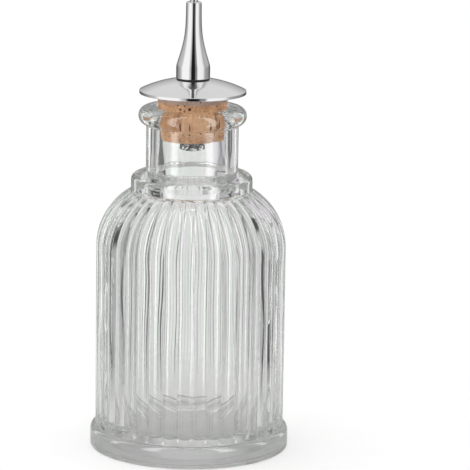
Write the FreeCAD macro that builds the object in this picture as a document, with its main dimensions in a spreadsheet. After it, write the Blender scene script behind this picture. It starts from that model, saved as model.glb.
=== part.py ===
import FreeCAD, Part
import math
import os
import re

import Sketcher

# Bitters bottle: a pressed glass bottle with a reeded wall and dome, closed by a tapered cork that carries
# a chromed drip disc and a dasher spout. A hollow stem with a nut clamps disc and cork together, the spout
# screws onto the stem's upper end over a flat seal ring, and a fine nozzle tube sits in the spout's tip.
# Millimetres, +Z up, origin on the bottle's axis in the plane that it stands on.

# Driving dimensions, in millimetres unless the comment says otherwise
DIMENSIONS = {
    # Glass wall and foot
    "body_diameter": 62.0,  # over the crests of the reeds
    "reed_count": 40,  # reeds round the wall
    "reed_depth": 0.6,  # from crest to groove
    "reed_root": 0.6,  # how far a reed runs on into the wall below the grooves
    "wall_thickness": 4.2,  # from the crest to the smooth inside
    "shoulder_height": 66.8,  # where the straight wall turns into the dome
    "dome_radius": 21.5,  # radius of the dome's outline
    "dome_overrun_angle": 4.0,  # degrees by which a reed runs on under the collar
    "bore_lead_angle": 15.0,  # degrees by which the inside of the dome stops short of the bore
    "foot_diameter": 65.2,
    "foot_height": 7.5,
    "foot_edge_radius": 1.5,  # upper edge of the foot
    "base_chamfer": 0.8,  # lower edge of the foot
    "kick_diameter": 46.0,  # hollow under the base
    "kick_depth": 1.2,
    "kick_slope": 3.0,  # width of the slope round the hollow
    "floor_thickness": 8.2,  # inside floor above the table
    "floor_corner_radius": 5.0,
    # Glass neck
    "collar_diameter": 39.7,
    "collar_sink": 0.3,  # how far the collar's lower edge sinks between the crests
    "collar_height": 4.1,  # straight side of the collar
    "collar_edge_radius": 1.2,
    "collar_edge_angle": 65.0,  # degrees over which that edge is rounded
    "collar_slope_height": 2.9,  # from the straight side up to the neck
    "neck_diameter": 30.0,
    "neck_length": 14.8,  # from the collar's slope to the lip
    "lip_diameter": 35.2,
    "lip_bead_radius": 3.0,
    "bore_diameter": 22.4,
    "mouth_chamfer": 0.6,
    # Cork
    "cork_length": 14.78,
    "cork_insertion": 10.5,  # depth of its lower face below the lip
    "cork_taper": 5.7,  # half angle, degrees
    "cork_gap": 0.06,  # clearance to the bore where the cork seats
    "cork_chamfer": 0.6,
    # Drip disc
    "disc_diameter": 34.7,
    "disc_rim_height": 0.95,
    "disc_rise": 3.67,  # from the rim's top to the spout's seat
    "disc_chamfer": 0.3,
    # Hollow stem with its washer and nut
    "stem_diameter": 5.0,
    "stem_bore": 3.0,
    "stem_gap": 0.06,  # clearance round the stem in cork, disc, washer, nut and spout
    "stem_collar_diameter": 7.2,
    "stem_collar_height": 1.2,
    "stem_tail": 0.4,  # below the nut
    "thread_pitch": 0.8,
    "thread_turns": 6,  # turns of the spout's thread
    "washer_diameter": 10.0,
    "washer_thickness": 0.6,
    "nut_flats": 8.0,
    "nut_side_count": 6,
    "nut_turn_angle": 2.8,  # degrees by which a corner stands off the Y axis
    "nut_height": 2.7,
    "nut_chamfer": 0.45,  # height of the cut on the corners
    # Seal ring, spout and nozzle
    "seal_thickness": 0.4,
    "seal_inset": 0.1,  # how far the ring stays inside the spout's foot
    "seal_width": 1.4,
    "spout_diameter": 11.0,
    "spout_band_height": 4.0,  # straight band above the foot
    "spout_height": 24.8,
    "spout_tip_diameter": 5.1,
    "spout_tip_height": 20.1,  # where the flare ends in the straight tip
    "spout_tip_chamfer": 0.4,
    "socket_relief": 0.4,  # free depth past the stem's end
    "channel_diameter": 2.2,
    "nozzle_diameter": 2.6,
    "nozzle_bore": 1.4,
    "nozzle_insertion": 6.0,
    "nozzle_reach": 2.2,  # beyond the spout's tip
    "nozzle_chamfer": 0.2,
    "nozzle_gap": 0.02,  # clearance round the nozzle in its seat
    # How far a cutting profile runs past the piece that it cuts
    "cut_margin": 1.0,
    # Straight steps that each round is laid in
    "foot_step_count": 2,
    "floor_step_count": 2,
    "dome_step_count": 3,
    "inner_dome_step_count": 2,
    "collar_step_count": 1,
    "lip_step_count": 5,
    "crown_step_count": 2,
    "flare_step_count": 3,
}

doc = FreeCAD.newDocument("BittersBottle")

# Driving dimensions in the sheet
sheet = doc.addObject("Spreadsheet::Sheet", "Dimensions")
for row, (alias, value) in enumerate(DIMENSIONS.items(), start=1):
    sheet.set(f"A{row}", alias)
    sheet.set(f"B{row}", str(value))
    sheet.setAlias(f"B{row}", alias)
doc.recompute()

# Lengths and heights that follow from the sheet
levels = doc.addObject("App::VarSet", "Levels")


def sized(text):
    """An expression with each driving dimension or level written out as the document knows it."""

    def owned(match):
        word = match.group()
        if word in DIMENSIONS:
            return f"Dimensions.{word}"
        return f"Levels.{word}" if word in levels.PropertiesList else word

    return re.sub(r"[a-z_]+", owned, text)


def number(text):
    """The present value of an expression in dimensions and levels."""
    value = sheet.evalExpression(sized(text))
    return float(getattr(value, "Value", value))


def level(name, text):
    """Adds a named length that follows the sheet."""
    levels.addProperty("App::PropertyFloat", name)
    levels.setExpression(name, sized(text))
    doc.recompute()


level("body_radius", "body_diameter / 2")
level("foot_radius", "foot_diameter / 2")
level("collar_radius", "collar_diameter / 2")
level("neck_radius", "neck_diameter / 2")
level("bore_radius", "bore_diameter / 2")
level("dome_centre", "body_radius - dome_radius")
level("reed_start", "foot_height - foot_edge_radius")
level("collar_meets_dome", "shoulder_height + sqrt(dome_radius ^ 2 - (collar_radius - dome_centre) ^ 2)")
level("collar_base", "collar_meets_dome - collar_sink")
level("collar_side_top", "collar_base + collar_height")
level("neck_base", "collar_side_top + collar_slope_height")
level("lip_base", "neck_base + neck_length")
level("bead_centre", "lip_diameter / 2 - lip_bead_radius")
level("bead_start", "acos((neck_radius - bead_centre) / lip_bead_radius) / 1 deg")
level("bead_height", "lip_base + lip_bead_radius * sin(bead_start * 1 deg)")
level("lip_top", "bead_height + lip_bead_radius")
level("seat_depth", "cork_insertion - mouth_chamfer")
level("reed_half_width", "(body_radius - reed_depth) * sin(180 deg / reed_count)")
level("reed_height", "body_radius - (body_radius - reed_depth) * cos(180 deg / reed_count)")
level("reed_radius", "(reed_half_width ^ 2 + reed_height ^ 2) / (2 * reed_height)")
level("reed_reach", "reed_height + reed_root")
level("reed_root_half", "sqrt(reed_radius ^ 2 - (reed_radius - reed_reach) ^ 2)")
level("core_depth", "reed_height + reed_root / 2")
level("dome_sweep", "acos((collar_radius - dome_centre) / dome_radius) / 1 deg + dome_overrun_angle")
level("inner_dome", "dome_radius - wall_thickness")
level("inner_radius", "body_radius - wall_thickness")
level("bore_rise", "acos((bore_radius - dome_centre) / inner_dome) / 1 deg - bore_lead_angle")
level("cork_bottom_radius", "bore_radius - cork_gap - tan(cork_taper * 1 deg) * seat_depth")
level("cork_top_radius", "cork_bottom_radius + tan(cork_taper * 1 deg) * cork_length")
level("cork_bottom", "lip_top - cork_insertion")
level("disc_bottom", "cork_bottom + cork_length")
level("disc_height", "disc_rim_height + disc_rise")
level("crown_rise", "((disc_diameter ^ 2 - spout_diameter ^ 2) / 4 - disc_rise ^ 2) / (2 * disc_rise)")
level("crown_radius", "sqrt(disc_diameter ^ 2 / 4 + crown_rise ^ 2)")
level("crown_start", "acos(disc_diameter / (2 * crown_radius)) / 1 deg")
level("crown_end", "acos(spout_diameter / (2 * crown_radius)) / 1 deg")
level("seat_top", "disc_bottom + disc_height")
level("spout_foot", "seat_top + seal_thickness")
level("washer_bottom", "cork_bottom - washer_thickness")
level("nut_bottom", "washer_bottom - nut_height")
level("stem_bottom", "nut_bottom - stem_tail")
level("stem_hole", "stem_diameter / 2 + stem_gap")
level("thread_length", "thread_pitch * thread_turns")
level("stem_collar_top", "seat_top - stem_bottom")
level("stem_length", "spout_foot + thread_length - stem_bottom")
level("nut_reach", "nut_flats / sqrt(3)")
level("nut_bevel", "nut_chamfer * sqrt(3)")
level("nut_turn", "90 + nut_turn_angle")
level("flare_width", "(spout_diameter - spout_tip_diameter) / 2")
level("flare_length", "spout_tip_height - spout_band_height")
level("flare_radius", "(flare_width ^ 2 + flare_length ^ 2) / (2 * flare_width)")
level("flare_angle", "asin(flare_length / flare_radius) / 1 deg")
level("nozzle_bottom", "spout_foot + spout_height - nozzle_insertion")
level("nozzle_length", "nozzle_insertion + nozzle_reach")


def origin_plane(body, role):
    """One of the body's own origin planes."""
    return next(plane for plane in body.Origin.OriginFeatures if plane.Role == role)


def corner(across, along, arc=None):
    """A corner of an outline; arc is the radius of the round that leads to it, bulging to the right."""
    return {"across": across, "along": along, "arc": arc}


def bend(count, across, along, radius, start, end):
    """Corners of a round about a centre, laid in straight steps, which mesh into far fewer facets."""
    steps = DIMENSIONS[count]
    corners = []
    for step in range(steps + 1):
        angle = f"(({start}) + (({end}) - ({start})) * {step} / {count}) * 1 deg"
        sideways = f"{across} + ({radius}) * cos({angle})"
        upward = f"{along} + ({radius}) * sin({angle})"
        corners.append(corner(sideways, upward))
    return corners


def run_between(start, end, radius):
    """A line from start to end, or an arc of that radius that bulges to the right."""
    if radius is None:
        return Part.LineSegment(start, end)
    chord = end - start
    inward = FreeCAD.Vector(-chord.y, chord.x, 0).normalize()
    centre = (start + end) / 2 + inward * math.sqrt(max(radius**2 - (chord.Length / 2) ** 2, 0))
    first, last = [math.atan2(point.y - centre.y, point.x - centre.x) for point in (start, end)]
    return Part.ArcOfCircle(Part.Circle(centre, FreeCAD.Vector(0, 0, 1), radius), first, last)


def place_point(sketch, geometry, point, axis, text, name):
    """Holds one coordinate of a point to an expression, or to the axis itself where it is 0."""
    along_x = axis == "DistanceX"
    if text == "0":
        sketch.addConstraint(Sketcher.Constraint("PointOnObject", geometry, point, -2 if along_x else -1))
        return
    index = sketch.addConstraint(Sketcher.Constraint(axis, -1, 1, geometry, point, number(text)))
    sketch.renameConstraint(index, name)
    sketch.setExpression(f"Constraints.{name}", sized(text))


def place_corner(sketch, geometry, point, where, name):
    """Holds both coordinates of a corner."""
    place_point(sketch, geometry, point, "DistanceX", where["across"], f"{name}Across")
    place_point(sketch, geometry, point, "DistanceY", where["along"], f"{name}Along")


def outline(body, name, role, corners, closed=True, lift=None):
    """A sketch on one of the body's planes that runs through the corners, each bound to the sheet."""
    sketch = body.newObject("Sketcher::SketchObject", name)
    sketch.AttachmentSupport = [(origin_plane(body, role), "")]
    sketch.MapMode = "FlatFace"
    if lift is not None:
        sketch.setExpression("AttachmentOffset.Base.z", sized(lift))
    points = [FreeCAD.Vector(number(c["across"]), number(c["along"]), 0) for c in corners]
    ends = list(range(0 if closed else 1, len(corners)))
    runs = []
    for i in ends:
        radius = None if corners[i]["arc"] is None else number(corners[i]["arc"])
        runs.append(run_between(points[i - 1], points[i], radius))
    sketch.addGeometry(runs, False)
    if not closed:
        place_corner(sketch, 0, 1, corners[0], "Start")
    for k, i in enumerate(ends):
        after = (k + 1) % len(runs)
        if closed or after:
            sketch.addConstraint(Sketcher.Constraint("Coincident", k, 2, after, 1))
        if corners[i]["arc"] is not None:
            index = sketch.addConstraint(Sketcher.Constraint("Radius", k, number(corners[i]["arc"])))
            sketch.renameConstraint(index, f"Round{i}")
            sketch.setExpression(f"Constraints.Round{i}", sized(corners[i]["arc"]))
        place_corner(sketch, k, 2, corners[i], f"Corner{i}")
    doc.recompute()
    return sketch


def turn(body, kind, name, corners):
    """A PartDesign revolution or groove of a half-section about the body's axis."""
    sketch = outline(body, name + "Section", "XZ_Plane", corners)
    feature = body.newObject(f"PartDesign::{kind}", name)
    feature.Profile = sketch
    feature.ReferenceAxis = (sketch, ["V_Axis"])
    feature.Angle = 360.0
    doc.recompute()
    return feature


def new_body(label, height=None):
    """A body that carries the node's name, standing at a height that follows the sheet."""
    body = doc.addObject("PartDesign::Body", label)
    body.Label = label
    if height is not None:
        body.setExpression("Placement.Base.z", sized(height))
    return body


# Glass bottle: a turned core with foot, collar, neck and lip, round reeds laid over wall and dome, and the
# hollow cut out of it last
core_dome = bend("dome_step_count", "dome_centre", "shoulder_height", "dome_radius - core_depth",
                 "0", "dome_sweep")
bottle = new_body("glass_bottle")
turn(bottle, "Revolution", "Core", [
    corner("0", "kick_depth"),
    corner("kick_diameter / 2 - kick_slope", "kick_depth"),
    corner("kick_diameter / 2", "0"),
    corner("foot_radius - base_chamfer", "0"),
    corner("foot_radius", "base_chamfer"),
    *bend("foot_step_count", "foot_radius - foot_edge_radius", "reed_start", "foot_edge_radius", "0", "90"),
    corner("body_radius - core_depth", "foot_height"),
    *core_dome,
    corner(core_dome[-1]["across"], "collar_base"),
    corner("collar_radius", "collar_base"),
    *bend("collar_step_count", "collar_radius - collar_edge_radius", "collar_side_top", "collar_edge_radius",
          "0", "collar_edge_angle"),
    corner("neck_radius", "neck_base"),
    *bend("lip_step_count", "bead_centre", "bead_height", "lip_bead_radius", "-1 * bead_start", "90"),
    corner("0", "lip_top"),
])
reed_path = outline(bottle, "ReedPath", "XZ_Plane", [
    corner("body_radius", "reed_start"),
    *bend("dome_step_count", "dome_centre", "shoulder_height", "dome_radius", "0", "dome_sweep"),
], closed=False)
reed_section = outline(bottle, "ReedSection", "XY_Plane", [
    corner("body_radius - reed_reach", "-1 * reed_root_half"),
    corner("body_radius - reed_reach", "reed_root_half", arc="reed_radius"),
], lift="reed_start")
reed = bottle.newObject("PartDesign::AdditivePipe", "Reed")
reed.Profile = reed_section
reed.Spine = (reed_path, [f"Edge{i + 1}" for i in range(len(core_dome))])
reed.Transition = "Right corner"
doc.recompute()
reeds = bottle.newObject("PartDesign::PolarPattern", "Reeds")
reeds.Originals = [reed]
reeds.Axis = (reed_section, ["N_Axis"])
reeds.Angle = 360.0
reeds.setExpression("Occurrences", sized("reed_count"))
bottle.Tip = reeds
doc.recompute()
glass_before_cut = bottle.Shape.Volume
turn(bottle, "Groove", "Cavity", [
    corner("0", "floor_thickness"),
    *bend("floor_step_count", "inner_radius - floor_corner_radius", "floor_thickness + floor_corner_radius",
          "floor_corner_radius", "-90", "0"),
    *bend("inner_dome_step_count", "dome_centre", "shoulder_height", "inner_dome", "0", "bore_rise"),
    corner("bore_radius", "collar_base"),
    corner("bore_radius", "lip_top - mouth_chamfer"),
    corner("bore_radius + mouth_chamfer", "lip_top"),
    corner("bore_radius + mouth_chamfer", "lip_top + cut_margin"),
    corner("0", "lip_top + cut_margin"),
])
capacity = (glass_before_cut - bottle.Shape.Volume) / 1000

# Cork: a tapered stopper, bored for the stem, with its edges broken
cork = new_body("cork_stopper", "cork_bottom")
turn(cork, "Revolution", "Taper", [
    corner("stem_hole", "0"),
    corner("cork_bottom_radius - cork_chamfer", "0"),
    corner("cork_bottom_radius + tan(cork_taper * 1 deg) * cork_chamfer", "cork_chamfer"),
    corner("cork_top_radius", "cork_length"),
    corner("stem_hole", "cork_length"),
])

# Drip disc: a crowned saucer with a rounded lower rim, a flat seat and a counterbore for the stem's collar
disc = new_body("drip_disc", "disc_bottom")
turn(disc, "Revolution", "Saucer", [
    corner("stem_hole", "0"),
    corner("disc_diameter / 2 - disc_chamfer", "0"),
    corner("disc_diameter / 2", "disc_chamfer"),
    *bend("crown_step_count", "0", "disc_rim_height - crown_rise", "crown_radius",
          "crown_start", "crown_end"),
    corner("stem_collar_diameter / 2 + stem_gap", "disc_height"),
    corner("stem_collar_diameter / 2 + stem_gap", "disc_height - stem_collar_height"),
    corner("stem_hole", "disc_height - stem_collar_height"),
])

# Hollow stem: a threaded tube with its collar sunk in the disc, so that the nut below clamps disc and cork
stem = new_body("hollow_stem", "stem_bottom")
turn(stem, "Revolution", "Tube", [
    corner("stem_bore / 2", "0"),
    corner("stem_diameter / 2", "0"),
    corner("stem_diameter / 2", "stem_collar_top - stem_collar_height"),
    corner("stem_collar_diameter / 2", "stem_collar_top - stem_collar_height"),
    corner("stem_collar_diameter / 2", "stem_collar_top"),
    corner("stem_diameter / 2", "stem_collar_top"),
    corner("stem_diameter / 2", "stem_length"),
    corner("stem_bore / 2", "stem_length"),
])

# Washer and thin hexagon nut under the cork
washer = new_body("stem_washer", "washer_bottom")
turn(washer, "Revolution", "Ring", [
    corner("stem_hole", "0"),
    corner("washer_diameter / 2", "0"),
    corner("washer_diameter / 2", "washer_thickness"),
    corner("stem_hole", "washer_thickness"),
])
nut = new_body("stem_nut", "nut_bottom")
nut_blank = nut.newObject("PartDesign::Pad", "Blank")
nut_blank.Profile = outline(nut, "Hexagon", "XY_Plane",
                            bend("nut_side_count", "0", "0", "nut_reach", "nut_turn", "nut_turn + 360")[1:])
nut_blank.setExpression("Length", sized("nut_height"))
doc.recompute()
turn(nut, "Groove", "Hole", [
    corner("0", "-1 * cut_margin"),
    corner("stem_hole", "-1 * cut_margin"),
    corner("stem_hole", "nut_height + cut_margin"),
    corner("0", "nut_height + cut_margin"),
])
turn(nut, "Groove", "CornerCut", [
    corner("nut_reach - nut_bevel", "0"),
    corner("nut_reach + nut_bevel", "0"),
    corner("nut_reach + nut_bevel", "2 * nut_chamfer"),
])

# Flat seal ring under the spout's foot
seal = new_body("spout_seal_ring", "seat_top")
seal_outer = "spout_diameter / 2 - seal_inset"
turn(seal, "Revolution", "Ring", [
    corner(f"{seal_outer} - seal_width", "0"),
    corner(seal_outer, "0"),
    corner(seal_outer, "seal_thickness"),
    corner(f"{seal_outer} - seal_width", "seal_thickness"),
])

# Dasher spout: turned outside with a straight band, a flared neck and a rounded tip; socket, channel and
# nozzle seat bored along its axis
spout = new_body("dasher_spout", "spout_foot")
turn(spout, "Revolution", "Outside", [
    corner("0", "0"),
    corner("spout_diameter / 2", "0"),
    *bend("flare_step_count", "spout_tip_diameter / 2 + flare_radius", "spout_tip_height", "flare_radius",
          "180 + flare_angle", "180"),
    corner("spout_tip_diameter / 2", "spout_height - spout_tip_chamfer"),
    corner("spout_tip_diameter / 2 - spout_tip_chamfer", "spout_height"),
    corner("0", "spout_height"),
])
turn(spout, "Groove", "Bores", [
    corner("0", "-1 * cut_margin"),
    corner("stem_hole", "-1 * cut_margin"),
    corner("stem_hole", "thread_length + socket_relief"),
    corner("channel_diameter / 2", "thread_length + socket_relief"),
    corner("channel_diameter / 2", "spout_height - nozzle_insertion"),
    corner("nozzle_diameter / 2 + nozzle_gap", "spout_height - nozzle_insertion"),
    corner("nozzle_diameter / 2 + nozzle_gap", "spout_height + cut_margin"),
    corner("0", "spout_height + cut_margin"),
])

# Nozzle tube in the spout's tip
nozzle = new_body("nozzle_tube", "nozzle_bottom")
turn(nozzle, "Revolution", "Tube", [
    corner("nozzle_bore / 2", "0"),
    corner("nozzle_diameter / 2", "0"),
    corner("nozzle_diameter / 2", "nozzle_length - nozzle_chamfer"),
    corner("nozzle_diameter / 2 - nozzle_chamfer", "nozzle_length"),
    corner("nozzle_bore / 2", "nozzle_length"),
])

# Checks and files
doc.recompute()
for item in doc.Objects:
    if "Invalid" in item.State or "Error" in item.State:
        raise RuntimeError(f"{item.Label} failed: {item.State}")
pieces = [bottle, cork, disc, stem, washer, nut, seal, spout, nozzle]
for piece in pieces:
    if piece.Shape.isNull() or not piece.Shape.isValid() or len(piece.Shape.Solids) != 1:
        raise RuntimeError(f"{piece.Label} is not one valid solid")
os.makedirs("parts", exist_ok=True)
for piece in pieces:
    piece.Shape.exportStep(f"parts/{piece.Label}.step")
    print(f"{piece.Label}: {piece.Shape.Volume:.1f} mm3, {len(piece.Shape.Faces)} faces")
print(f"brimful capacity {capacity:.0f} ml, lip at {number('lip_top'):.2f}, "
      f"top at {number('nozzle_bottom + nozzle_length'):.2f} mm")
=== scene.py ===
import math
import random

import bpy
from mathutils import Matrix, Vector, noise


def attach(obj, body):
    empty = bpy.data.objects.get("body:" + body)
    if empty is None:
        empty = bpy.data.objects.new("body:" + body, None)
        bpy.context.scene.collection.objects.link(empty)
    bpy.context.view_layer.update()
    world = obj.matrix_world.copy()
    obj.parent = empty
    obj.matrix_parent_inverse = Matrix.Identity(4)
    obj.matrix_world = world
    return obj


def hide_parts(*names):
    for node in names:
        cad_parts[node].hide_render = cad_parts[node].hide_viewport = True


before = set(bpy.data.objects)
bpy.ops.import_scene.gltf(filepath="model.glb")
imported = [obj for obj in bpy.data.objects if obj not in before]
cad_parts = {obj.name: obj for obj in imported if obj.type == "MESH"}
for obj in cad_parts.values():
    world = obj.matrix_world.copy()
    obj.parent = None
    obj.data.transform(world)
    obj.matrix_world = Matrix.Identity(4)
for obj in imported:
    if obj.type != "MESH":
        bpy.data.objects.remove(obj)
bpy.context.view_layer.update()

# Glass bottle: one thick piece of soda-lime glass, pressed in a mould with forty upright reeds that run
# over wall and dome and draw together under the collar. The inside is blown, so it wanders a little, and the
# underside is stippled by the mould. It stands free on its foot and holds the stopper in its neck.
MM = 0.001
BODY_RADIUS = 31.0
SHOULDER = 66.8
DOME_RADIUS = 21.5
DOME_CENTRE = BODY_RADIUS - DOME_RADIUS
REED_COUNT = 40
REED_ROUND = 4.45
REED_SAMPLES = 12
REED_RUNOUT = 2.4
REED_START = 0.1  # share of its depth that a reed has where it leaves the foot
FOOT_RADIUS = 32.6
FOOT_HEIGHT = 7.5
FOOT_FALL = 0.5
FOOT_INSET = 0.2
FOOT_TOP_ROUND = 2.2
FOOT_LOW_ROUND = 0.9
KICK = 1.2
KICK_RADIUS = 23.0
KICK_SLOPE = 3.0
KICK_TOP_ROUND = 2.0
KICK_LOW_ROUND = 1.0
COLLAR_RADIUS = 19.8
COLLAR_FILLET = 1.0
COLLAR_TOP = 90.3
COLLAR_ROUND = 2.2
NECK_RADIUS = 15.0
NECK_BASE = 92.3
NECK_FILLET = 0.8
BEAD_CENTRE = (14.6, 110.1)
BEAD_RADIUS = 3.0
BEAD_START = -75
BEAD_FILLET = 0.5
LIP_TOP = BEAD_CENTRE[1] + BEAD_RADIUS
LIP_FLAT = 0.3
MOUTH_ROUND = 0.9
BORE_RADIUS = 11.2
BORE_END = 86.8
WALL = 4.2
FLOOR = 8.2
FLOOR_ROUND = 2.5
FLOOR_DIP = 0.1
BLOWN_TOP = 100.0
BLOWN_FADE = 4.0
WANDER_WAVES = (  # depth, width and height of a wave on the blown inside
    (0.45, 9.0, 22.0),
    (0.08, 4.2, 24.0),
)
STIPPLE_RADIUS = KICK_RADIUS + 1


def arc(centre, radius, start, end, steps):
    """Points of a round about a centre, from one angle to another in degrees."""
    angles = [math.radians(start + (end - start) * k / steps) for k in range(steps + 1)]
    return [(centre[0] + radius * math.cos(a), centre[1] + radius * math.sin(a)) for a in angles]


def eased(*corners, steps=6):
    """Points of an outline; a corner (across, up, rounding) is rounded off, the two ends stay."""
    spots = [Vector(corner[:2]) for corner in corners]
    points = [tuple(spots[0])]
    for before, here, after, corner in zip(spots, spots[1:], spots[2:], corners[1:]):
        if len(corner) < 3:
            points.append(tuple(here))
            continue
        back, onward = (before - here).normalized(), (after - here).normalized()
        half = back.angle(onward) / 2
        centre = here + (back + onward).normalized() * (corner[2] / math.sin(half))
        reach = corner[2] / math.tan(half)
        first, last = here + back * reach - centre, here + onward * reach - centre
        start = math.atan2(first.y, first.x)
        sweep = (math.atan2(last.y, last.x) - start + math.pi) % math.tau - math.pi
        points += arc(centre, corner[2], math.degrees(start), math.degrees(start + sweep), steps)
    return points + [tuple(spots[-1])]


def run(start, end, steps):
    """Points of a straight stretch, its end left out."""
    return [tuple(Vector(start).lerp(Vector(end), k / steps)) for k in range(steps)]


def turned(name, outline, sides, closed=False, form=None):
    """A piece turned from an outline that runs up outside and down inside, in millimetres."""
    angles = sides if isinstance(sides, list) else [math.tau * k / sides for k in range(sides)]
    vertices, rings, faces = [], [], []
    for k, (across, up) in enumerate(outline):
        ring = []
        for angle in angles if across > 0 else [0.0]:
            r, z = form(k, angle) if form else (across, up)
            ring.append(len(vertices))
            vertices.append((r * math.cos(angle) * MM, r * math.sin(angle) * MM, z * MM))
        rings.append(ring)
    for low, high in zip(rings, rings[1:] + rings[:1] if closed else rings[1:]):
        for i in range(len(angles)):
            j = (i + 1) % len(angles)
            loop = (low[i % len(low)], low[j % len(low)], high[j % len(high)], high[i % len(high)])
            faces.append(tuple(dict.fromkeys(loop)))
    mesh = bpy.data.meshes.new(name)
    mesh.from_pydata(vertices, [], faces)
    mesh.shade_smooth()
    piece = bpy.data.objects.new(name, mesh)
    bpy.context.scene.collection.objects.link(piece)
    return piece


foot = eased(
    (0, KICK),
    (KICK_RADIUS - KICK_SLOPE, KICK, KICK_TOP_ROUND),
    (KICK_RADIUS, 0, KICK_LOW_ROUND),
    (FOOT_RADIUS, 0, FOOT_LOW_ROUND),
    (FOOT_RADIUS, FOOT_HEIGHT - FOOT_FALL, FOOT_TOP_ROUND),
    (BODY_RADIUS - FOOT_INSET, FOOT_HEIGHT),
    steps=7,
)[:-1]
reed_foot = run((BODY_RADIUS, FOOT_HEIGHT), (BODY_RADIUS, FOOT_HEIGHT + REED_RUNOUT), steps=6)
wall = run((BODY_RADIUS, FOOT_HEIGHT + REED_RUNOUT), (BODY_RADIUS, SHOULDER), steps=24)
fillet_across = COLLAR_RADIUS + COLLAR_FILLET
fillet_rise = math.sqrt((DOME_RADIUS + COLLAR_FILLET) ** 2 - (fillet_across - DOME_CENTRE) ** 2)
dome_end = math.degrees(math.atan2(fillet_rise, fillet_across - DOME_CENTRE))
dome = arc((DOME_CENTRE, SHOULDER), DOME_RADIUS, 0, dome_end, steps=36)
fillet = arc((fillet_across, SHOULDER + fillet_rise), COLLAR_FILLET, 180 + dome_end, 180, steps=8)[1:]
neck = eased(
    fillet[-1],
    (COLLAR_RADIUS, COLLAR_TOP, COLLAR_ROUND),
    (NECK_RADIUS, NECK_BASE, NECK_FILLET),
    (NECK_RADIUS, BEAD_CENTRE[1] - BEAD_RADIUS, BEAD_FILLET),
    arc(BEAD_CENTRE, BEAD_RADIUS, BEAD_START, 0, steps=1)[0],
    steps=9,
)[1:-1]
bead = arc(BEAD_CENTRE, BEAD_RADIUS, BEAD_START, 90, steps=22)
mouth = eased(
    (BEAD_CENTRE[0] - LIP_FLAT, LIP_TOP),
    (BORE_RADIUS, LIP_TOP, MOUTH_ROUND),
    (BORE_RADIUS, BLOWN_TOP),
    steps=9,
)[:-1]
inner_radius = BODY_RADIUS - WALL
inner_dome = DOME_RADIUS - WALL
bore_across, bore_rise = BORE_RADIUS - DOME_CENTRE, BORE_END - SHOULDER
flare_round = (bore_rise**2 + bore_across**2 - inner_dome**2) / (2 * (inner_dome - bore_across))
flare_turn = math.degrees(math.atan2(bore_rise, bore_across + flare_round))
hollow = run((BORE_RADIUS, BLOWN_TOP), (BORE_RADIUS, BORE_END), steps=10)
hollow += arc((BORE_RADIUS + flare_round, BORE_END), flare_round, 180, 180 + flare_turn, steps=14)[:-1]
hollow += arc((DOME_CENTRE, SHOULDER), inner_dome, flare_turn, 0, steps=24)[:-1]
hollow += run((inner_radius, SHOULDER), (inner_radius, FLOOR + FLOOR_ROUND), steps=30)
hollow += arc((inner_radius - FLOOR_ROUND, FLOOR + FLOOR_ROUND), FLOOR_ROUND, 0, -90, steps=10)
floor_middle = [(inner_radius / 2, FLOOR - FLOOR_DIP), (0, FLOOR)]

outside = foot + reed_foot + wall + dome + fillet + neck + bead + mouth
glass_outline = outside + hollow + floor_middle
blown = range(len(outside), len(outside + hollow))
reed_share = [0.0] * len(foot)
reed_share += [REED_START + (1 - REED_START) * k / len(reed_foot) for k in range(len(reed_foot))]
reed_share += [1.0] * len(wall + dome)
reed_share += [1 - (k + 1) / len(fillet) for k in range(len(fillet))]
reed_share += [0.0] * (len(glass_outline) - len(reed_share))


def reed_fall(crest, angle):
    """How far the glass lies below the crest of the nearest reed, which is that far from the axis."""
    pitch = math.tau / REED_COUNT
    off = (angle + pitch / 2) % pitch - pitch / 2
    centre = crest - REED_ROUND
    return crest - centre * math.cos(off) - math.sqrt(REED_ROUND**2 - (centre * math.sin(off)) ** 2)


def glass_form(k, angle):
    """The glass at one point: reeds on wall and dome, a slight wander on the blown inside."""
    across, up = glass_outline[k]
    if reed_share[k]:
        fall = reed_share[k] * reed_fall(across, angle)
        lean = math.atan2(max(up - SHOULDER, 0), across - DOME_CENTRE)
        return across - fall * math.cos(lean), up - fall * math.sin(lean)
    if k in blown:
        share = across / inner_radius * min(1, (BLOWN_TOP - up) / BLOWN_FADE)
        for depth, width, tall in WANDER_WAVES:
            round_about = inner_radius / width
            spot = Vector((math.cos(angle) * round_about, math.sin(angle) * round_about, up / tall))
            across += depth * share * noise.noise(spot)
    return across, up


half_reed = REED_SAMPLES // 2
spread = [math.sin(math.pi / 2 * k / half_reed) / 2 for k in range(-half_reed, half_reed)]
reed_angles = [(reed + step) * math.tau / REED_COUNT for reed in range(REED_COUNT) for step in spread]
bottle = turned("reeded_glass", glass_outline, reed_angles, form=glass_form)
stipple = [
    float(math.hypot(v.co.x, v.co.y) < STIPPLE_RADIUS * MM and v.co.z < FLOOR / 2 * MM)
    for v in bottle.data.vertices
]
bottle.data.attributes.new("stipple", "FLOAT", "POINT").data.foreach_set("value", stipple)


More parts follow.
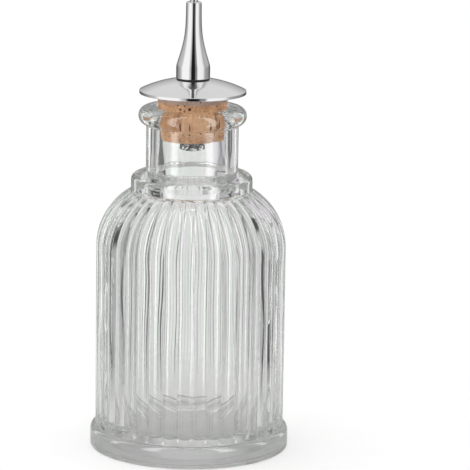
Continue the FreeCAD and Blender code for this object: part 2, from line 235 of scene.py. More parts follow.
class Wire:
    """An output of a shader node. Arithmetic with it adds Math nodes, and node() adds any other kind."""

    def __init__(self, tree, socket=None):
        self.tree = tree
        self.socket = socket

    def node(self, kind, sockets=None, settings=None, output=0):
        made = self.tree.nodes.new("ShaderNode" + kind)
        for name, value in (settings or {}).items():
            if name == "stops":
                ramp = made.color_ramp.elements
                while len(ramp) < len(value):
                    ramp.new(0.5)
                for stop, (place, bright) in zip(ramp, value):
                    stop.position = place
                    stop.color = (bright, bright, bright, 1)
            else:
                setattr(made, name, value)
        for name, value in (sockets or {}).items():
            if isinstance(value, Wire):
                self.tree.links.new(value.socket, made.inputs[name])
            else:
                made.inputs[name].default_value = value
        return Wire(self.tree, made.outputs[output]) if made.outputs else None

    def math(self, operation, first, second=0.0):
        return self.node("Math", {0: first, 1: second}, {"operation": operation})

    def mix(self, low, high):
        """The colour that goes from low to high as this value goes from 0 to 1."""
        return self.node("Mix", {0: self, 6: low, 7: high}, {"data_type": "RGBA"}, output=2)

    def stretched(self, low, high, first=0.0, last=1.0):
        """A value that goes from first to last as this one goes from low to high."""
        return self.node("MapRange", {0: self, 1: low, 2: high, 3: first, 4: last})

    def bumps(self, strength, depth):
        """An uneven surface as high as this value, which stands for a depth in millimetres."""
        return self.node("Bump", {"Height": self, "Strength": strength, "Distance": depth * MM})

    def __add__(self, other):
        return self.math("ADD", self, other)

    def __sub__(self, other):
        return self.math("SUBTRACT", self, other)

    def __rsub__(self, other):
        return self.math("SUBTRACT", other, self)

    def __mul__(self, other):
        return self.math("MULTIPLY", self, other)

    def __truediv__(self, other):
        return self.math("DIVIDE", self, other)

    def __rtruediv__(self, other):
        return self.math("DIVIDE", other, self)

    __radd__ = __add__
    __rmul__ = __mul__


def new_finish(name):
    """An empty material and the start of its node tree."""
    material = bpy.data.materials.new(name)
    material.use_nodes = True
    material.node_tree.nodes.clear()
    return material, Wire(material.node_tree)


def place_on(start, stretch=(1, 1, 1)):
    """The place on a piece, in its own millimetres."""
    place = start.node("TexCoord", output=3)
    return start.node("Mapping", {"Vector": place, "Scale": [s / MM for s in stretch]})


def grain(start, scale, detail=2.0, stretch=(1, 1, 1)):
    """A noise over the piece's own millimetres, from 0 to 1."""
    return start.node("TexNoise", {"Vector": place_on(start, stretch), "Scale": scale, "Detail": detail})


def marked(start, attribute):
    """A value that the mesh carries at its points."""
    return start.node("Attribute", settings={"attribute_name": attribute}, output=2)


CLEAR = (0.985, 0.987, 0.985, 1)
CLEAR_THICK = (0.965, 0.969, 0.964, 1)
GLASS_TINT = (0.915, 0.94, 0.915, 1)
GLASS_DENSITY = 10.0
GLASS_IOR = 1.5
STIPPLE_ROUGHNESS = 0.35
glass, start = new_finish("soda_lime_glass")
shader = start.node("BsdfPrincipled", {
    "Base Color": grain(start, scale=0.05).mix(CLEAR, CLEAR_THICK),
    "Roughness": marked(start, "stipple") * STIPPLE_ROUGHNESS,
    "IOR": GLASS_IOR,
    "Transmission Weight": 1.0,
    "Normal": grain(start, scale=0.09).bumps(strength=0.08, depth=1.0),
})
volume = start.node("VolumeAbsorption", {"Color": GLASS_TINT, "Density": GLASS_DENSITY})
start.node("OutputMaterial", {"Surface": shader, "Volume": volume})
bottle.data.materials.append(glass)
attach(bottle, "bottle")
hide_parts("glass_bottle")

# Cork: a tapered stopper punched from natural cork bark, bored through for the stem. It has dark pores, its
# lower edge has crumbled in a few places, and the disc's shade is painted grey on its top. It wedges in the
# bore, and the glass presses it to its own round in front and behind.
CORK_BOTTOM = 102.62
CORK_LENGTH = 14.78
CORK_TOP = CORK_BOTTOM + CORK_LENGTH
CORK_LOW_RADIUS = 10.15
CORK_HIGH_RADIUS = 11.62
CORK_FOOT_ROUND = 0.5
CORK_TOP_EDGE = 0.1
CORK_UNEVEN = 0.04
UNEVEN_ROUND = 14
UNEVEN_UP = 1.2
STEM_HOLE = 2.56
CORK_SQUEEZE = 0.03
SQUEEZE_BOTTOM = 108.8
SQUEEZE_EASE = 2.2
SQUEEZE_SIDE = 0.86  # how far to either side the glass presses, as a share of the half width
SIDE_EASE = 0.10
CORK_SIDE = CORK_LOW_RADIUS - 1  # points farther out than this lie on the cork's side
CORK_RINGS = 60
CORK_SIDES = 320
CORK_FRONT = math.radians(-87.2)
BARK_SEED = 11
PORE_COUNT = 60
PORE_LOWEST = 0.5
PORE_WIDTH = (0.15, 0.4)
PORE_HEIGHT = (0.2, 0.7)
PORE_DEPTH = (0.15, 0.4)
CHIP_COUNT = 9
CHIP_WIDTH = (0.6, 1.6)
CHIP_HEIGHT = (0.5, 1.1)
CHIP_DEPTH = (0.3, 0.7)
FRONT_PORE_DEPTH = 0.45
FRONT_PORES = (  # degrees to the right of the front, height, half width, half height
    (-25, 115.0, 0.35, 0.30),
    (-21, 113.6, 0.50, 0.45),
    (-13, 114.9, 0.35, 0.30),
    (-5, 113.8, 0.65, 0.65),
    (-14, 113.0, 0.35, 0.40),
    (6, 114.6, 0.25, 0.25),
    (-18, 109.1, 0.34, 0.42),
    (-4, 109.05, 0.26, 0.38),
    (27, 109.1, 0.30, 0.36),
    (37, 109.1, 0.30, 0.34),
    (14, 106.2, 0.40, 0.40),
    (-30, 106.8, 0.40, 0.40),
    (-5, 105.6, 0.35, 0.30),
)
FRONT_CHIP = (48, 3.4, 2.4, 1.1)  # degrees to the right of the front, half width, half height, depth

cork_foot = eased(
    (STEM_HOLE, CORK_BOTTOM),
    (CORK_LOW_RADIUS, CORK_BOTTOM, CORK_FOOT_ROUND),
    (CORK_HIGH_RADIUS, CORK_TOP),
)
cork_outline = cork_foot[:-2] + run(cork_foot[-2], (CORK_HIGH_RADIUS, CORK_TOP), CORK_RINGS)
cork_outline += [(CORK_HIGH_RADIUS - CORK_TOP_EDGE, CORK_TOP), (STEM_HOLE, CORK_TOP)]
bark = random.Random(BARK_SEED)
pores = []
for _ in range(PORE_COUNT):
    turn = bark.uniform(0, math.tau)
    height = CORK_BOTTOM + bark.uniform(PORE_LOWEST, CORK_LENGTH)
    size = [bark.uniform(*limits) for limits in (PORE_WIDTH, PORE_HEIGHT, PORE_DEPTH)]
    pores.append((turn, height, *size))
degrees, width, tall, depth = FRONT_CHIP
chips = [(CORK_FRONT + math.radians(degrees), CORK_BOTTOM, width, tall, depth)]
for _ in range(CHIP_COUNT):
    turn = bark.uniform(0, math.tau)
    size = [bark.uniform(*limits) for limits in (CHIP_WIDTH, CHIP_HEIGHT, CHIP_DEPTH)]
    chips.append((turn, CORK_BOTTOM, *size))
for degrees, height, width, tall in FRONT_PORES:
    pores.append((CORK_FRONT + math.radians(degrees), height, width, tall, FRONT_PORE_DEPTH))
pore_depths = []


def sunk_by(spots, angle, across, up):
    """How deep the pores or chips in a list sink one point."""
    sink = 0.0
    for turn, height, width, tall, depth in spots:
        off = ((angle - turn + math.pi) % math.tau - math.pi) * across / width
        away = off**2 + ((up - height) / tall) ** 2
        if away < 1:
            sink += depth * (1 - away) ** 2
    return sink


def cork_form(k, angle):
    """The cork at one point: sunk by pores and chips, and pressed against the bore in front and behind."""
    across, up = cork_outline[k]
    pore = 0.0
    if across > CORK_SIDE:
        pore = sunk_by(pores, angle, across, up)
        spot = Vector((math.cos(angle) * UNEVEN_ROUND, math.sin(angle) * UNEVEN_ROUND, up * UNEVEN_UP))
        across -= CORK_UNEVEN * (1 + noise.noise(spot)) + pore + sunk_by(chips, angle, across, up)
        if up < LIP_TOP - MOUTH_ROUND:
            aside = abs(math.sin(angle - CORK_FRONT))
            press = min(max((up - SQUEEZE_BOTTOM) / SQUEEZE_EASE + 1, 0), 1)
            press *= min(max((SQUEEZE_SIDE - aside) / SIDE_EASE, 0), 1)
            across += press * (BORE_RADIUS + CORK_SQUEEZE - across)
    pore_depths.append(pore)
    return across, up


cork = turned("tapered_cork", cork_outline, CORK_SIDES, closed=True, form=cork_form)
cork.data.attributes.new("pore", "FLOAT", "POINT").data.foreach_set("value", pore_depths)


def surface(start, sockets):
    """Ends a finish with one shader."""
    start.node("OutputMaterial", {"Surface": start.node("BsdfPrincipled", sockets)})


CORK_PALE = (0.90, 0.54, 0.31, 1)
CORK_DEEP = (0.48, 0.23, 0.11, 1)
CORK_PORE = (0.08, 0.025, 0.012, 1)
# Painted shade: the grey that the cork turns under the disc's overhang.
CORK_DISC_SHADE = (0.40, 0.33, 0.32, 1)
SHADE_START = 2.9  # below the cork's top
SHADE_FULL = 1.9
SHADE_STRENGTH = 0.7
SPECK_STRENGTH = 0.6
PORE_STRENGTH = 0.95
DARK_START = 0.03  # depth at which a pore begins to darken
DARK_FULL = 0.16
BROAD_SHARE = 0.6
FINE_SHARE = 0.6
CORK_SMOOTHEST = 0.75
CORK_ROUGHER = 0.2
natural_cork, start = new_finish("natural_cork")
broad = grain(start, scale=0.22, detail=4.0, stretch=(1, 1, 1.6))
fine = grain(start, scale=1.3, detail=5.0, stretch=(1, 1, 1.5))
cells = start.node("TexVoronoi", {"Vector": place_on(start, (0.9, 0.9, 1.5)), "Scale": 1.0})
specks = grain(start, scale=0.8, detail=3.0, stretch=(1, 1, 0.6)).stretched(0.62, 0.70, last=SPECK_STRENGTH)
dark_pores = marked(start, "pore").stretched(DARK_START, DARK_FULL, last=PORE_STRENGTH)
tone = (broad * BROAD_SHARE + fine * (1 - BROAD_SHARE)).stretched(0.36, 0.64)
# Painted shade: the cork's colour turns grey towards its top, where the disc overhangs it.
below_top = CORK_TOP - start.node("SeparateXYZ", {0: place_on(start)}, output=2)
disc_shade = below_top.stretched(SHADE_START, SHADE_FULL, last=SHADE_STRENGTH)
bark_and_painted_shade = disc_shade.mix(tone.mix(CORK_PALE, CORK_DEEP), CORK_DISC_SHADE)
surface(start, {
    "Base Color": start.math("MAXIMUM", specks, dark_pores).mix(bark_and_painted_shade, CORK_PORE),
    "Roughness": CORK_SMOOTHEST + fine * CORK_ROUGHER,
    "Normal": (fine * FINE_SHARE + cells * (1 - FINE_SHARE)).bumps(strength=0.35, depth=0.4),
})
cork.data.materials.append(natural_cork)
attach(cork, "stopper")
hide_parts("cork_stopper")

# Drip disc: a shallow saucer, spun from sheet and chromed, that lies on the cork and catches what runs back.
# Its rim is a narrow upright edge, and a flat seat in the middle takes the spout.
DISC_RADIUS = 17.35
DISC_RIM = 0.95
DISC_RISE = 3.67
DISC_EDGE = 0.12
SEAT_RADIUS = 5.5
SEAT_TOP = CORK_TOP + DISC_RIM + DISC_RISE
STEM_COLLAR = 3.6
STEM_COLLAR_HEIGHT = 1.2
STEM_GAP = 0.06
FLAT_WEIGHT = 80

crown_drop = (DISC_RADIUS**2 - SEAT_RADIUS**2 - DISC_RISE**2) / (2 * DISC_RISE)
crown_radius = math.hypot(DISC_RADIUS, crown_drop)
crown_start = math.degrees(math.acos(DISC_RADIUS / crown_radius))
crown_end = math.degrees(math.acos(SEAT_RADIUS / crown_radius))
crown = arc((0, CORK_TOP + DISC_RIM - crown_drop), crown_radius, crown_start, crown_end, steps=40)
disc_outline = eased(
    (STEM_HOLE, CORK_TOP),
    (DISC_RADIUS, CORK_TOP, DISC_EDGE),
    (DISC_RADIUS, CORK_TOP + DISC_RIM, DISC_EDGE),
    crown[1],
)
disc_outline += crown[2:]
disc_outline += [
    (STEM_COLLAR + STEM_GAP, SEAT_TOP),
    (STEM_COLLAR + STEM_GAP, SEAT_TOP - STEM_COLLAR_HEIGHT),
    (STEM_HOLE, SEAT_TOP - STEM_COLLAR_HEIGHT),
]
disc = turned("drip_saucer", disc_outline, sides=192, closed=True)


def crisp(piece):
    """Keeps flat stretches flat beside their rounded edges."""
    weighted = piece.modifiers.new("crisp", "WEIGHTED_NORMAL")
    weighted.mode = "FACE_AREA"
    weighted.weight = FLAT_WEIGHT


crisp(disc)
CHROME_BRIGHT = (0.90, 0.90, 0.905, 1)
CHROME_DULL = (0.82, 0.82, 0.83, 1)
CHROME_SMOOTHEST = 0.012
CHROME_ROUGHER = 0.03
chrome, start = new_finish("polished_chrome")
smear = grain(start, scale=0.12, detail=3.0)
lathe_lines = grain(start, scale=0.5, detail=1.0, stretch=(0.05, 0.05, 6.0))
surface(start, {
    "Base Color": smear.mix(CHROME_BRIGHT, CHROME_DULL),
    "Metallic": 1.0,
    "Roughness": CHROME_SMOOTHEST + smear * CHROME_ROUGHER,
    "Normal": lathe_lines.bumps(strength=0.02, depth=0.2),
})
disc.data.materials.append(chrome)
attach(disc, "stopper")
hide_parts("drip_disc")

# Hollow stem: a steel tube with a rolled thread at both ends, through which the bitters pass. Its collar
# lies sunk in the disc, the nut draws up on the lower thread, and the spout screws onto the upper one.
STEM_BOTTOM = 98.92
STEM_TOP = 127.22
STEM_RADIUS = 2.5
STEM_BORE = 1.5
STEM_CHAMFER = 0.3
STEM_EDGE = 0.15
THREAD_PITCH = 0.8
THREAD_DEPTH = 0.36
THREAD_FLANK = 1.25  # above 1 leaves a flat at the thread's root
THREAD_STEPS = 10
LOWER_THREAD_TOP = 104.0


def rungs(bottom, top):
    """Points up a threaded stretch."""
    steps = round((top - bottom) / THREAD_PITCH * THREAD_STEPS)
    return run((STEM_RADIUS, bottom), (STEM_RADIUS, top), steps)


stem_outline = [(STEM_BORE, STEM_BOTTOM), (STEM_RADIUS - STEM_CHAMFER, STEM_BOTTOM)]
stem_outline += rungs(STEM_BOTTOM + STEM_CHAMFER, LOWER_THREAD_TOP)
stem_outline += eased(
    (STEM_RADIUS, LOWER_THREAD_TOP),
    (STEM_RADIUS, SEAT_TOP - STEM_COLLAR_HEIGHT),
    (STEM_COLLAR, SEAT_TOP - STEM_COLLAR_HEIGHT, STEM_EDGE),
    (STEM_COLLAR, SEAT_TOP, STEM_EDGE),
    (STEM_RADIUS, SEAT_TOP),
)
stem_outline += rungs(SEAT_TOP + STEM_CHAMFER, STEM_TOP - STEM_CHAMFER)
stem_outline += [(STEM_RADIUS - STEM_CHAMFER, STEM_TOP), (STEM_BORE, STEM_TOP)]


def stem_form(k, angle):
    """The stem at one point; on its threads the surface winds in and out along a helix."""
    across, up = stem_outline[k]
    threaded = STEM_BOTTOM < up < LOWER_THREAD_TOP or SEAT_TOP < up < STEM_TOP
    if not threaded or across != STEM_RADIUS:
        return across, up
    phase = (up / THREAD_PITCH - angle / math.tau) % 1
    return across - THREAD_DEPTH * min(1, THREAD_FLANK * abs(2 * phase - 1)), up


stem = turned("threaded_stem", stem_outline, sides=64, closed=True, form=stem_form)
STEEL_BRIGHT = (0.72, 0.72, 0.73, 1)
STEEL_DULL = (0.56, 0.56, 0.57, 1)
STEEL_SMOOTHEST = 0.08
STEEL_ROUGHER = 0.12
steel, start = new_finish("plain_steel")
wear = grain(start, scale=0.6, detail=4.0)
surface(start, {
    "Base Color": wear.mix(STEEL_BRIGHT, STEEL_DULL),
    "Metallic": 1.0,
    "Roughness": STEEL_SMOOTHEST + wear * STEEL_ROUGHER,
    "Normal": grain(start, scale=3.0).bumps(strength=0.08, depth=0.2),
})
stem.data.materials.append(steel)
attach(stem, "stopper")
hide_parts("hollow_stem")

# Washer: a flat ring punched from steel sheet, with one edge rounded by the punch. It lies under the cork
# and spreads the pull of the nut over it.
WASHER_RADIUS = 5.0
WASHER_THICKNESS = 0.6
WASHER_BOTTOM = CORK_BOTTOM - WASHER_THICKNESS
PUNCHED_EDGE = 0.15
SHEARED_EDGE = 0.05
washer = turned("punched_washer", eased(
    (STEM_HOLE, WASHER_BOTTOM),
    (WASHER_RADIUS, WASHER_BOTTOM, PUNCHED_EDGE),
    (WASHER_RADIUS, CORK_BOTTOM, SHEARED_EDGE),
    (STEM_HOLE, CORK_BOTTOM),
), sides=96, closed=True)
crisp(washer)
washer.data.materials.append(steel)
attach(washer, "stopper")
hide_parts("stem_washer")

# Nut: a thin hexagon nut of zinc-plated steel, dented, with its reflections painted on as dark and bright
# patches, that draws washer, cork and disc together on the stem's lower thread. Its lower corners are turned
# off to a cone.
NUT_FLATS = 8.0
NUT_HEIGHT = 2.7
NUT_BOTTOM = WASHER_BOTTOM - NUT_HEIGHT
NUT_SIDES = 6
NUT_TURN = math.radians(2.8)
NUT_EDGE = 0.05
NUT_FACE = 3.88
NUT_SLOPE = math.tan(math.radians(30))
NUT_STEP = math.radians(3)
NUT_SHARP = math.radians(25)
NUT_CORNER = 2  # the point of the outline that the cone cuts
nut_outline = [
    (STEM_HOLE, NUT_BOTTOM),
    (NUT_FACE, NUT_BOTTOM),
    (NUT_FLATS / 2, NUT_BOTTOM + NUT_EDGE),
    (NUT_FLATS / 2, WASHER_BOTTOM - NUT_EDGE),
    (NUT_FLATS / 2 - NUT_EDGE, WASHER_BOTTOM),
    (STEM_HOLE, WASHER_BOTTOM),
]


def nut_form(k, angle):
    """The nut at one point: round in the hole and on the lower face, a hexagon on its sides."""
    across, up = nut_outline[k]
    if k in (0, 1, len(nut_outline) - 1):
        return across, up
    pitch = math.tau / NUT_SIDES
    off = (angle - NUT_TURN - math.pi / 2) % pitch - pitch / 2
    reach = across / math.cos(off)
    return reach, up + (reach - NUT_FACE) * NUT_SLOPE if k == NUT_CORNER else up


nut_angles = [NUT_TURN + NUT_STEP * k for k in range(round(math.tau / NUT_STEP))]
nut = turned("hexagon_nut", nut_outline, nut_angles, closed=True, form=nut_form)
nut.data.set_sharp_from_angle(angle=NUT_SHARP)
# Painted reflections: near-black and near-white patches of colour stand in for the nut's dark outlines and
# glints.
ZINC_PAINTED_BRIGHT = (0.95, 0.95, 0.94, 1)
ZINC_PAINTED_DARK = (0.10, 0.10, 0.10, 1)
ZINC_SMOOTHEST = 0.06
ZINC_ROUGHER = 0.10
zinc, start = new_finish("zinc_plated_steel")
dents = grain(start, scale=0.55)
# Painted reflections: this mask splits the nut's colour into dark and bright patches.
painted_reflections = grain(start, scale=0.75, stretch=(1, 1, 0.8)).stretched(0.44, 0.54)
surface(start, {
    "Base Color": painted_reflections.mix(ZINC_PAINTED_BRIGHT, ZINC_PAINTED_DARK),
    "Metallic": 1.0,
    "Roughness": ZINC_SMOOTHEST + dents * ZINC_ROUGHER,
    "Normal": dents.bumps(strength=0.6, depth=1.2),
})
nut.data.materials.append(zinc)
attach(nut, "stopper")
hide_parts("stem_nut")

# Seal ring: a flat ring punched from black rubber sheet. It lies between disc and spout and keeps the
# bitters from creeping out along the thread; only its edge shows.
SEAL_THICKNESS = 0.4
SEAL_INSET = 0.1
SEAL_RADIUS = SEAT_RADIUS - SEAL_INSET
SEAL_WIDTH = 1.4
SEAL_EDGE = 0.08
SPOUT_FOOT = SEAT_TOP + SEAL_THICKNESS
seal = turned("rubber_ring", eased(
    (SEAL_RADIUS - SEAL_WIDTH, SEAT_TOP),
    (SEAL_RADIUS, SEAT_TOP, SEAL_EDGE),
    (SEAL_RADIUS, SPOUT_FOOT, SEAL_EDGE),
    (SEAL_RADIUS - SEAL_WIDTH, SPOUT_FOOT),
), sides=96, closed=True)
RUBBER_DARK = (0.010, 0.010, 0.011, 1)
RUBBER_DUSTY = (0.030, 0.030, 0.031, 1)
RUBBER_SMOOTHEST = 0.55
RUBBER_ROUGHER = 0.25
rubber, start = new_finish("black_rubber")
dust = grain(start, scale=1.5, detail=3.0)
surface(start, {
    "Base Color": dust.mix(RUBBER_DARK, RUBBER_DUSTY),
    "Roughness": RUBBER_SMOOTHEST + dust * RUBBER_ROUGHER,
})
seal.data.materials.append(rubber)
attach(seal, "seal")
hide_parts("spout_seal_ring")

# Dasher spout: turned from brass and chromed, with a straight band to grip and a long flared neck. It is
# bored through, threaded inside its foot, and screws down on the stem against the seal ring.
SPOUT_RADIUS = 5.5
SPOUT_BAND = 4.0
SPOUT_HEIGHT = 24.8
SPOUT_EDGE = 0.2
BAND_ROUND = 5.0
FLARE_TOP = 20.6
FLARE_STEPS = 40
FLARE_BLEND = 6  # the step of the flare where the rounding over the band ends
BAND_PULL = Vector((-2.5, 7.8))
TIP_PULL = Vector((0.1, -6.5))
TIP_RADIUS = 2.5
TIP_TAPER = 0.05
TIP_EDGE = 0.5
NOZZLE_RADIUS = 1.3
NOZZLE_SEAT = 6.0
CHANNEL_RADIUS = 1.1
SOCKET_DEPTH = 5.2
spout_top = SPOUT_FOOT + SPOUT_HEIGHT
flare_start = Vector((SPOUT_RADIUS, SPOUT_FOOT + SPOUT_BAND))
flare_end = Vector((TIP_RADIUS + TIP_TAPER, SPOUT_FOOT + FLARE_TOP))


def flare(share):
    """A point on the flare's curve, from the band at 0 to the tip at 1."""
    rest = 1 - share
    curve = flare_start * rest**3 + (flare_start + BAND_PULL) * 3 * rest**2 * share
    curve += (flare_end + TIP_PULL) * 3 * rest * share**2 + flare_end * share**3
    return curve.x, curve.y


flare_points = [flare(k / FLARE_STEPS) for k in range(FLARE_STEPS + 1)]
spout_outline = eased(
    (STEM_HOLE, SPOUT_FOOT),
    (SPOUT_RADIUS, SPOUT_FOOT, SPOUT_EDGE),
    (SPOUT_RADIUS, SPOUT_FOOT + SPOUT_BAND, BAND_ROUND),
    flare_points[FLARE_BLEND],
    steps=10,
)
spout_outline += flare_points[FLARE_BLEND + 1:]
spout_outline += eased(
    flare_points[-1],
    (TIP_RADIUS, spout_top, TIP_EDGE),
    (NOZZLE_RADIUS, spout_top),
    steps=7,
)[1:]
spout_outline += [
    (NOZZLE_RADIUS, spout_top - NOZZLE_SEAT),
    (CHANNEL_RADIUS, spout_top - NOZZLE_SEAT),
    (CHANNEL_RADIUS, SPOUT_FOOT + SOCKET_DEPTH),
    (STEM_HOLE, SPOUT_FOOT + SOCKET_DEPTH),
]
spout = turned("dasher_neck", spout_outline, sides=128, closed=True)
crisp(spout)
spout.data.materials.append(chrome)
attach(spout, "spout")
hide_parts("dasher_spout")

# Nozzle tube: a short length of fine steel tube, pressed into the spout's tip. Its narrow bore lets the
# bitters out in small drops, and its end is rounded off.
NOZZLE_BORE = 0.7
NOZZLE_REACH = 2.2
NOZZLE_GAP = 0.01
NOZZLE_LOW_EDGE = 0.1
NOZZLE_TIP_EDGE = 0.2
nozzle = turned("nozzle", eased(
    (NOZZLE_BORE, spout_top - NOZZLE_SEAT),
    (NOZZLE_RADIUS - NOZZLE_GAP, spout_top - NOZZLE_SEAT, NOZZLE_LOW_EDGE),
    (NOZZLE_RADIUS - NOZZLE_GAP, spout_top + NOZZLE_REACH, NOZZLE_TIP_EDGE),
    (NOZZLE_BORE, spout_top + NOZZLE_REACH),
), sides=64, closed=True)
crisp(nozzle)
nozzle.data.materials.append(steel)
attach(nozzle, "spout")
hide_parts("nozzle_tube")

# Floor: a round table top of matt white board under the bottle. It shows white, carries the bottle's soft
# shadow, and fades out into the white of the studio before its edge.
BOARD_RADIUS = 150.0
BOARD_FADE = 60.0
BOARD_DROP = 0.02
BOARD_WHITE = (0.66, 0.66, 0.66, 1)
BOARD_SHADE = (0.63, 0.63, 0.63, 1)
BOARD_GLOW = 0.46
BOARD_GLOW_IN_GLASS = 0.11
RAYS_SEEN = ("Is Camera Ray", "Is Glossy Ray", "Is Transmission Ray")
board = turned("table_top", [(0, 0), (BOARD_RADIUS, 0)], sides=96)
board.location.z = -BOARD_DROP * MM
matt, start = new_finish("white_board")
straight, mirrored, through = [start.node("LightPath", output=name) for name in RAYS_SEEN]
seen = straight * BOARD_GLOW + start.math("MAXIMUM", mirrored, through) * BOARD_GLOW_IN_GLASS
paper = start.node("BsdfDiffuse", {"Color": grain(start, scale=0.05).mix(BOARD_WHITE, BOARD_SHADE)})
glow = start.node("Emission", {"Color": seen, "Strength": 1.0})
away = start.node("VectorMath", {0: place_on(start)}, {"operation": "LENGTH"}, output=1)
start.node("OutputMaterial", {"Surface": start.node("MixShader", {
    0: away.stretched(BOARD_FADE, BOARD_RADIUS),
    1: start.node("AddShader", {0: paper, 1: glow}),
    2: start.node("BsdfTransparent"),
})})
board.data.materials.append(matt)

# Studio: a world by direction, so nothing stands in the way from any side. The camera sees plain white.
# Glass shows panels, gaps and some clutter behind it and mirrors narrow strip lights; metal mirrors tall
# soft lights beside the camera. Light may bounce often, because thick glass turns black otherwise.
CAMERA_TURN = math.radians(2.76)
WHITE = (1, 1, 1, 1)
LILAC = (1.03, 0.985, 1.04, 1)
SEA_GREEN = (0.97, 1.01, 0.965, 1)
CLUTTER_ROUND = 26.0
CLUTTER_SHIFT = 7.3
CLUTTER_UP = 5.0
CLUTTER_DARK = 0.12
CLUTTER_BRIGHT = 1.2
TINT_SCALE = 0.35
BACK_WALL = (0.76, 0.76, 0.76, 1)
CEILING = (0.12, 0.12, 0.12, 1)
STRIP_LIGHT = (5.0, 5.0, 5.0)
LIGHT_INSIDE_GLASS = (1.42, 1.42, 1.38)
ALL_BOUNCES = 40
MIRROR_BOUNCES = 32
world = bpy.data.worlds.new("studio")
bpy.context.scene.world = world
world.use_nodes = True
world.node_tree.nodes.clear()
start = Wire(world.node_tree)
ray = start.node("TexCoord", output=0)
ray_x, ray_y, ray_z = [start.node("SeparateXYZ", {0: ray}, output=k) for k in range(3)]
turn = (start.math("ARCTAN2", ray_x, ray_y) + CAMERA_TURN) / math.tau + 0.5
lift = start.math("ARCSINE", ray_z) / math.pi + 0.5


def round_ramp(*steps):
    """Brightness round the horizon, by degrees to the right of straight behind the bottle."""
    stops = [(degrees / 360 + 0.5, bright) for degrees, bright in steps]
    return start.node("ValToRGB", {0: turn}, {"stops": stops})


def rising_ramp(*steps):
    """Brightness by degrees above the horizon."""
    stops = [(degrees / 180 + 0.5, bright) for degrees, bright in steps]
    return start.node("ValToRGB", {0: lift}, {"stops": stops})


def times(first, second):
    """The product of two brightnesses or colours."""
    return start.node("VectorMath", {0: first, 1: second}, {"operation": "MULTIPLY"})


panels = round_ramp(
    (-180, 0.45), (-165, 0.45), (-152, 1.0), (-108, 1.0), (-92, 0.55), (-70, 0.45), (-50, 0.34), (-30, 0.47),
    (-19, 0.60), (-12, 0.80), (12, 0.80), (19, 0.60), (30, 0.47), (50, 0.34), (70, 0.45), (92, 0.55),
    (108, 1.0), (152, 1.0), (165, 0.45), (180, 0.45))
room = start.node("CombineXYZ", {0: turn * CLUTTER_ROUND + CLUTTER_SHIFT, 1: lift * CLUTTER_UP})
clutter = start.node("TexNoise", {"Vector": room, "Scale": 1.0, "Detail": 1.0})
clutter = clutter.stretched(0.42, 0.55, CLUTTER_DARK, CLUTTER_BRIGHT)
aside = round_ramp((-180, 1.0), (-20, 1.0), (-11, 0.0), (11, 0.0), (20, 1.0), (180, 1.0))
tint = start.node("TexNoise", {"Vector": room, "Scale": TINT_SCALE, "Detail": 1.0})
tint = tint.stretched(0.40, 0.60).mix(LILAC, SEA_GREEN)
through_glass = times(times(panels, tint), aside.mix(WHITE, clutter))

soft_lights = round_ramp(
    (-180, 0.01), (-169, 0.02), (-165, 0.45), (-157, 0.66), (-149, 1.05), (-104, 1.05), (-90, 0.6),
    (-58, 0.28), (-36, 0.12), (32, 0.08), (55, 0.28), (92, 0.42), (108, 0.95), (147, 1.05), (154, 0.3),
    (163, 0.25), (168, 0.02), (180, 0.01))
behind = round_ramp((-180, 0.0), (-100, 0.0), (-60, 1.0), (60, 1.0), (100, 0.0), (180, 0.0))
above_table = rising_ramp((-90, 0.0), (-5, 0.0), (8, 0.5), (30, 1.0), (90, 1.0))
before = round_ramp((-180, 1.0), (-150, 1.0), (-125, 0.0), (125, 0.0), (150, 1.0), (180, 1.0))
overhead = rising_ramp((-90, 0.0), (28, 0.0), (45, 1.0), (90, 1.0))
on_metal = times(behind, above_table).mix(soft_lights, BACK_WALL)
on_metal = times(before, overhead).mix(on_metal, CEILING)

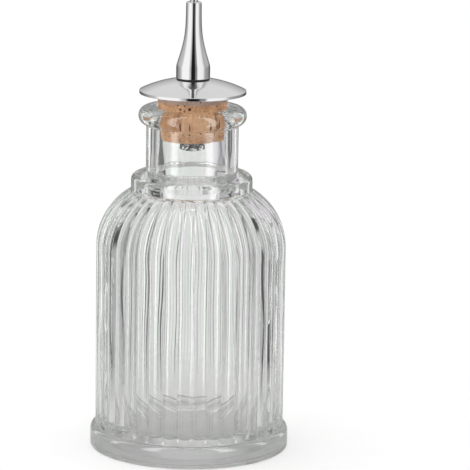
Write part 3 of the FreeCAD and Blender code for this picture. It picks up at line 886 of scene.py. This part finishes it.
strips = round_ramp(
    (-180, 0.2), (-148, 0.2), (-141, 1.25), (-131, 1.25), (-122, 0.1), (-90, 0.1), (-87, 1.0), (-81, 1.0),
    (-78, 0.1), (-50, 0.1), (-47, 0.5), (-41, 0.5), (-38, 0.05), (38, 0.05), (41, 0.5), (47, 0.5), (50, 0.1),
    (78, 0.1), (81, 1.0), (87, 1.0), (90, 0.1), (122, 0.1), (131, 1.25), (141, 1.25), (148, 0.2), (180, 0.2))
on_glass = times(strips, STRIP_LIGHT)
on_matt = round_ramp((-180, 0.85), (-90, 1.15), (0, 0.9), (90, 0.75), (180, 0.85))

straight, mirrored, through = [start.node("LightPath", output=name) for name in RAYS_SEEN]
sharp = start.node("LightPath", output="Is Singular Ray")
from_matt = start.math("MINIMUM", start.node("LightPath", output="Diffuse Depth"), 1.0)
shown = through.mix(mirrored.mix(on_matt, sharp.mix(on_metal, on_glass)), through_glass)
shown = from_matt.mix(shown, through.mix(on_matt, times(on_matt, LIGHT_INSIDE_GLASS)))
shown = straight.mix(shown, WHITE)
start.node("OutputWorld", {"Surface": start.node("Background", {"Color": shown, "Strength": 1.0})})
bpy.context.scene.cycles.max_bounces = ALL_BOUNCES
bpy.context.scene.cycles.transmission_bounces = ALL_BOUNCES
bpy.context.scene.cycles.glossy_bounces = MIRROR_BOUNCES

# Camera: a long lens from a little above, aimed just over the shoulder, as the photograph was taken. Its
# shift only sets the bottle left of the middle.
AIM_HEIGHT = 72.0
CAMERA_DISTANCE = 1040.6
CAMERA_RISE = math.radians(11.818)
CAMERA_ROLL = math.radians(0.7)
LENS = 243.9
SENSOR = 36.0
SHIFT = (0.0932, -0.0103)
FARTHEST = 10.0
camera = bpy.data.objects.new("camera", bpy.data.cameras.new("camera"))
camera.data.lens = LENS
camera.data.sensor_width = SENSOR
camera.data.shift_x, camera.data.shift_y = SHIFT
camera.data.clip_end = FARTHEST
level = math.cos(CAMERA_RISE)
back = Vector((math.sin(CAMERA_TURN) * level, -math.cos(CAMERA_TURN) * level, math.sin(CAMERA_RISE)))
facing = (-back).to_track_quat("-Z", "Y").to_matrix() @ Matrix.Rotation(CAMERA_ROLL, 3, "Z")
standpoint = Vector((0, 0, AIM_HEIGHT)) + back * CAMERA_DISTANCE
camera.matrix_world = Matrix.Translation(standpoint * MM) @ facing.to_4x4()
bpy.context.scene.collection.objects.link(camera)
bpy.context.scene.camera = camera
bpy.context.scene.view_settings.view_transform = "Standard"
